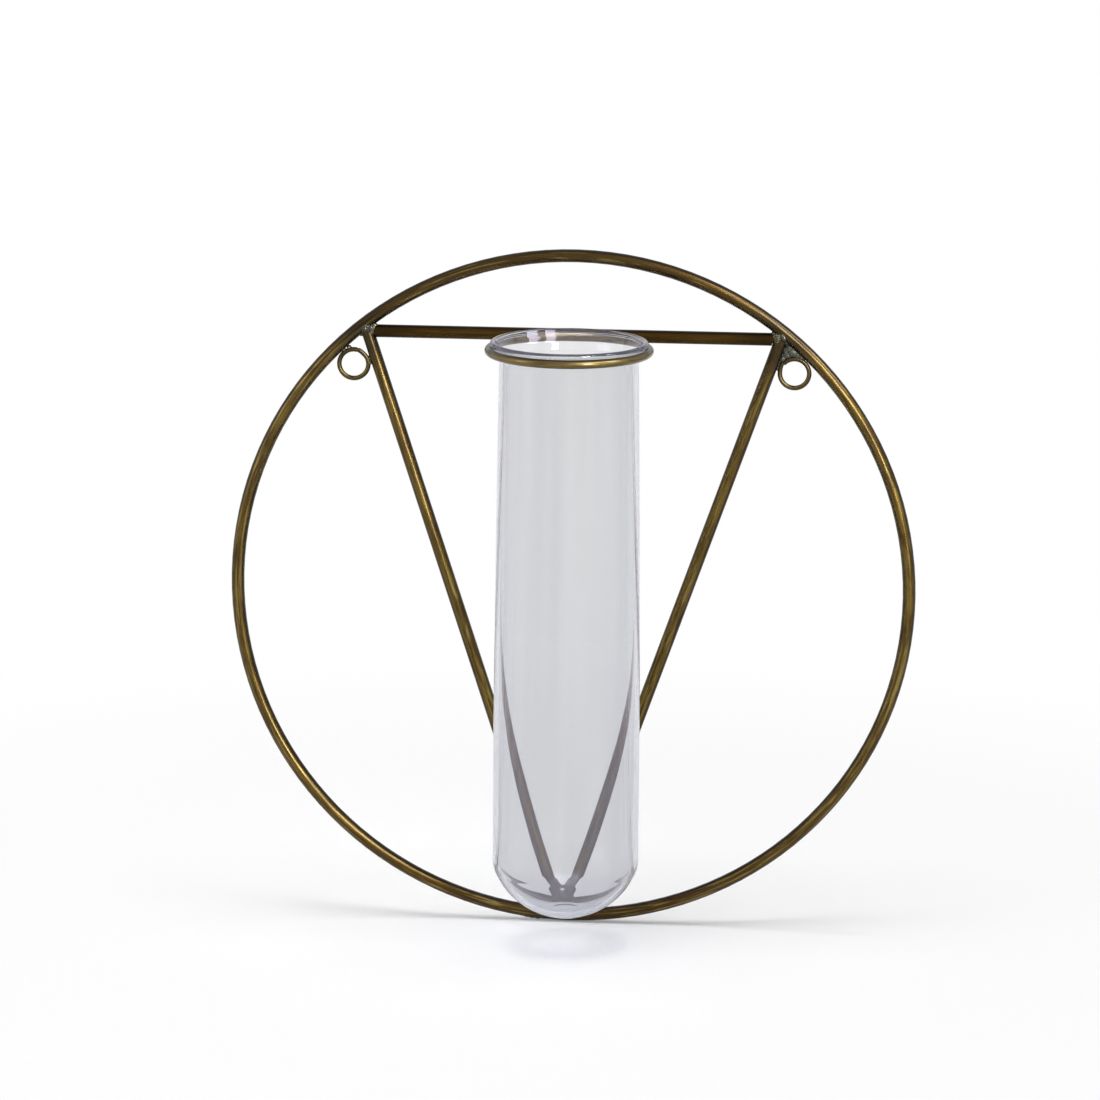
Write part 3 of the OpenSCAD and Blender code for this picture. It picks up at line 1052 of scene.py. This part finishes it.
@dataclass
class GlassTube:
    """A round-bottomed glass tube with a flared, fire-polished mouth, in mm and degrees.

    Attributes:
        width: Widest outer diameter.
        neck: Outer diameter under the flare.
        neck_wall: Wall at the neck.
        body_wall: Wall of the lower body.
        base_wall: Glass at the middle of the bottom.
        dish: Radius of the domed bottom, outside and inside.
        knuckle: Radius between the bottom and the side, outside and inside.
        seal: Radius, half width and height of the seal ring under the bottom.
        bead: Diameter of the bead round the mouth.
        bead_line: Diameter of the bead's centre line.
        bead_arc: Angles between which the bead's section shows.
        flare: Radius of the flare.
        flare_start: Angle of the flare's arc where it leaves the neck.
        flare_angle: Angle through which the flare bends out.
        flare_drop: Height of the flare below the bead.
        swell_share: Share of the length that has the full width.
        swell_power: How the side bends in above it.
        nub: Radius and height of the nub in the middle of the bottom.
        nub_edge: Points of the nub's rounded edge: distance in from its rim, and height.
        pole: Radius of the small ring that closes the bottom, outside and inside.
        side_steps: Rings up the side.
        dome_steps: Rings over the bottom, and over the knuckle.
        lip_steps: Rings over the flare, and over the bead.
        sides: Points round the tube.
    """

    width: float = 50.6
    neck: float = 47.8
    neck_wall: float = 1.4
    body_wall: float = 1.8
    base_wall: float = 2.0
    dish: Pair = (26.6, 24.8)
    knuckle: Pair = (10.0, 8.2)
    seal: tuple[float, float, float] = (5.5, 1.0, 0.18)
    bead: float = 1.9
    bead_line: float = 52.3
    bead_arc: Pair = (-100.0, 150.0)
    flare: float = 10.0
    flare_start: float = 178.0
    flare_angle: float = 35.0
    flare_drop: float = 7.85
    swell_share: float = 0.268
    swell_power: float = 1.5
    nub: Pair = (1.4, 0.3)
    nub_edge: tuple[Pair, ...] = ((0.35, 0.0), (0.15, 0.04))
    pole: float = 0.2
    side_steps: int = 40
    dome_steps: tuple[int, int] = (56, 18)
    lip_steps: tuple[int, int] = (14, 30)
    sides: int = 192

    @staticmethod
    def arc(centre: Pair, radius: float, start: float, end: float, steps: int) -> Profile:
        """Returns points (r, z) on an arc."""
        angles = [math.radians(start + (end - start) * i / steps) for i in range(steps + 1)]
        return [(centre[0] + radius * math.cos(a), centre[1] + radius * math.sin(a)) for a in angles]

    def dome(self, start: float, side: float, low: float, dish: float, knuckle: float) -> Profile:
        """Draws the domed bottom and its knuckle, outwards.

        Args:
            start: Radius at which it starts.
            side: Radius of the side.
            low: Height of the bottom.
            dish: Radius of the dome.
            knuckle: Radius of the knuckle.

        Returns:
            The points (r, z).
        """
        over_dish, over_knuckle = self.dome_steps
        turn = math.degrees(math.asin((side - knuckle) / (dish - knuckle)))
        height = low + dish - (dish - knuckle) * math.cos(math.radians(turn))
        first = math.degrees(math.asin(start / dish)) - 90
        bottom = self.arc((0, low + dish), dish, first, turn - 90, over_dish)
        return bottom + self.arc((side - knuckle, height), knuckle, turn - 90, 0, over_knuckle)[1:]

    def ringed(self, bottom: Profile) -> Profile:
        """Raises the seal ring on the bottom.

        Args:
            bottom: The bottom's points (r, z).

        Returns:
            The points with the ring.
        """
        middle, half, height = self.seal
        lift = [height * max(0.0, 1 - ((r - middle) / half) ** 2) ** 2 for r, _ in bottom]
        return [(r, z - up) for (r, z), up in zip(bottom, lift)]

    def outline(self, top: float, length: float) -> Profile:
        """Draws the tube's outline, from the bottom's middle outside to the middle inside.

        Args:
            top: Height of the top of the lip.
            length: Length of the tube.

        Returns:
            The points (r, z).
        """
        low, bead_r = top - length, self.bead / 2
        side_r, neck_r = self.width / 2, self.neck / 2
        lip = (self.bead_line / 2, top - bead_r)
        neck_z, swell_z = lip[1] - self.flare_drop, low + self.swell_share * length
        nub_r, nub_h = self.nub
        heights = [swell_z + (neck_z - swell_z) * i / self.side_steps for i in range(self.side_steps + 1)]
        share = [(z - swell_z) / (neck_z - swell_z) for z in heights]
        outer = [(side_r - (side_r - neck_r) * s ** self.swell_power, z) for s, z in zip(share, heights)]
        walls = [self.body_wall - (self.body_wall - self.neck_wall) * s for s in share]
        inner = [(x - wall, z) for (x, z), wall in zip(outer, walls)]
        nub = [(self.pole, low)] + [(nub_r - inwards, low + up) for inwards, up in self.nub_edge]
        under = self.ringed(self.dome(nub_r, side_r, low + nub_h, self.dish[0], self.knuckle[0]))
        inside = self.dome(
            self.pole, side_r - self.body_wall, low + nub_h + self.base_wall, self.dish[1], self.knuckle[1]
        )
        flare, end = (neck_r + self.flare, neck_z), 180 - self.flare_angle
        over_flare, over_bead = self.lip_steps
        return (
            nub + under + outer
            + self.arc(flare, self.flare, self.flare_start, end, over_flare)
            + self.arc(lip, bead_r, *self.bead_arc, over_bead)
            + self.arc(flare, self.flare + self.neck_wall, end, self.flare_start, over_flare)
            + inner[::-1] + inside[::-1]
        )

    def build(self) -> list[Piece]:
        """Draws the tube up ring by ring from its bottom, over the lip and down inside.

        Returns:
            The tube, in a list.
        """
        low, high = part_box("glass_tube")
        middle = (low + high) / 2
        rings = self.outline(high.z / MM, (high.z - low.z) / MM)
        Bench.clear()
        r, z = rings[0]
        bpy.ops.mesh.primitive_circle_add(
            vertices=self.sides, radius=r * MM, fill_type="TRIFAN", location=(middle.x, middle.y, z * MM)
        )
        tube = bpy.context.active_object
        Bench.apply_place()
        bpy.ops.object.mode_set(mode="EDIT")
        bpy.ops.mesh.select_all(action="DESELECT")
        bpy.ops.mesh.select_mode(type="EDGE")
        bpy.ops.mesh.select_non_manifold(extend=False)
        for next_r, next_z in rings[1:]:
            bpy.ops.mesh.extrude_region_move(TRANSFORM_OT_translate={"value": (0, 0, (next_z - z) * MM)})
            grow, hub = next_r / r, (middle.x, middle.y, next_z * MM)
            bpy.ops.transform.resize(value=(grow, grow, 1), center_override=hub)
            r, z = next_r, next_z
        bpy.ops.mesh.edge_face_add()
        bpy.ops.mesh.poke()
        bpy.ops.mesh.select_all(action="SELECT")
        bpy.ops.mesh.normals_make_consistent(inside=False)
        bpy.ops.object.mode_set(mode="OBJECT")
        Bench.settle(tube, "glass_tube_shell")
        Bench.dress(tube, TubeGlass().make(), Slot.GLASS, Body.TUBE)
        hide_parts("glass_tube")
        return [tube]


class LampJob(Enum):
    """What a lamp does: light the floor and the object, be mirrored in metal and glass, or both."""

    LIGHT = "light"
    MIRROR = "mirror"
    BOTH = "both"


@dataclass
class Softbox:
    """A soft studio lamp.

    Attributes:
        name: Its name.
        place: Where it stands, in metres.
        size: Its width and height, in metres.
        watts: Its power.
        job: What it does for the picture.
    """

    name: str
    place: Point
    size: Pair
    watts: float
    job: LampJob

    def build(self, target: Vector) -> None:
        """Sets the lamp up.

        Args:
            target: The place that it is aimed at.
        """
        data = bpy.data.lights.new(self.name, "AREA")
        data.shape = "RECTANGLE"
        data.size, data.size_y = self.size
        data.energy = self.watts
        lamp = bpy.data.objects.new(self.name, data)
        lamp.visible_glossy = self.job is not LampJob.LIGHT
        lamp.visible_diffuse = lamp.visible_transmission = self.job is not LampJob.MIRROR
        bpy.context.scene.collection.objects.link(lamp)
        lamp.location = self.place
        lamp.rotation_mode = "QUATERNION"
        lamp.rotation_quaternion = (target - Vector(self.place)).to_track_quat("-Z", "Y")


@dataclass
class Studio:
    """The plain studio: world, lamps, floor and camera.

    Attributes:
        eye: The camera's place, in metres.
        right: The camera's axis to the right.
        up: The camera's axis upwards.
        forward: The direction that the camera looks.
        lens_mm: Focal length on the sensor.
        sensor_mm: Width of the sensor.
        floor_size: Width of the floor, in metres.
        floor_gap: How far the floor lies under the hoop, in metres.
        floor_glow: Light that the camera sees from the floor besides the lamps'.
        floor_fade: Distances at which the floor turns plain white, in metres.
        world_light: Strength of the world's light on the object.
        lamps: The lamps.
    """

    eye: Point = (0.16976, -1.94859, 0.34953)
    right: Point = (0.99572338, 0.09216582, 0.00635708)
    up: Point = (-0.02529405, 0.20579149, 0.97826892)
    forward: Point = (-0.08885473, 0.97424603, -0.20724265)
    lens_mm: float = 187.25
    sensor_mm: float = 36.0
    floor_size: float = 30.0
    floor_gap: float = 0.0003
    floor_glow: float = 0.19
    floor_fade: Pair = (0.2, 0.48)
    world_light: float = 0.35
    lamps: list[Softbox] = field(default_factory=lambda: [
        Softbox("near_window", (1.04, -1.16, 1.56), (0.50, 0.85), 18.0, LampJob.MIRROR),
        Softbox("far_window", (1.65, -0.44, 1.38), (0.60, 0.85), 21.0, LampJob.MIRROR),
        Softbox("key_softbox", (1.06, -1.84, 0.58), (0.42, 1.4), 48.0, LampJob.MIRROR),
        Softbox("fill_softbox", (-1.7, -1.1, 0.5), (0.9, 1.2), 6.0, LampJob.BOTH),
        Softbox("top_softbox", (0.0, -0.25, 1.9), (1.3, 1.1), 32.0, LampJob.LIGHT),
    ])

    def camera(self) -> None:
        """Sets the camera up."""
        data = bpy.data.cameras.new("camera")
        data.lens, data.sensor_width = self.lens_mm, self.sensor_mm
        camera = bpy.data.objects.new("camera", data)
        bpy.context.scene.collection.objects.link(camera)
        turn = Matrix((Vector(self.right), Vector(self.up), -Vector(self.forward))).transposed()
        camera.rotation_mode = "QUATERNION"
        camera.rotation_quaternion = turn.to_quaternion()
        camera.location = self.eye
        bpy.context.scene.camera = camera

    def world(self) -> None:
        """Makes a plain world that is paler to the camera and in glass and metal than its light is."""
        world = bpy.data.worlds.new("studio")
        bpy.context.scene.world = world
        r = Recipe(world)
        level = r.node("MapRange", {"Value": r.seen(), "To Min": self.world_light, "To Max": 1.0})
        r.surface(r.node("Background", {"Color": PALE, "Strength": level}))

    def floor(self) -> None:
        """Lays a pale floor that keeps the soft shadow."""
        low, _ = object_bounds()
        Bench.clear()
        bpy.ops.mesh.primitive_plane_add(size=self.floor_size, location=(0, 0, low.z - self.floor_gap))
        floor = bpy.context.active_object
        Bench.settle(floor, "floor")
        r = Recipe(bpy.data.materials.new("floor_white"))
        seen = r.seen()
        away = r.node("VectorMath", {0: r.place()}, operation="LENGTH").outputs["Value"]
        matt = r.node("BsdfDiffuse", {"Color": PALE})
        glow = r.node("Emission", {"Color": WHITE, "Strength": r.math("MULTIPLY", seen, self.floor_glow)})
        lit = r.node("AddShader", {0: matt, 1: glow})
        plain = r.node("Emission", {"Color": WHITE, "Strength": 1.0})
        far = r.math("MULTIPLY", seen, r.span(away, *self.floor_fade))
        r.surface(r.node("MixShader", {0: far, 1: lit, 2: plain}))
        floor.data.materials.append(r.owner)
        floor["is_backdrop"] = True

    def build(self) -> None:
        """Sets up the whole studio."""
        bpy.context.scene.view_settings.view_transform = "Standard"
        self.camera()
        self.world()
        self.floor()
        for lamp in self.lamps:
            lamp.build(box_centre("hoop"))
        log.info("studio: %d lamps", len(self.lamps))


def main() -> None:
    """Builds the vase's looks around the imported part, and reports each piece."""
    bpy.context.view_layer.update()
    left_eye = HangingEye("left", meets_at=75.0, turn=1, tail=52.0, spring_mm=0.15)
    right_eye = HangingEye("right", meets_at=139.0, turn=-1, tail=38.0, spring_mm=0.55)
    for assembly in (Rods(), left_eye, right_eye, Brazing(), GlassTube()):
        for piece in assembly.build():
            finish = piece.material_slots[0].material
            log.info("%s: %s, %d faces", piece.name, finish.name, len(piece.data.polygons))
    Studio().build()
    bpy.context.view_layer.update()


if __name__ == "__main__":
    main()
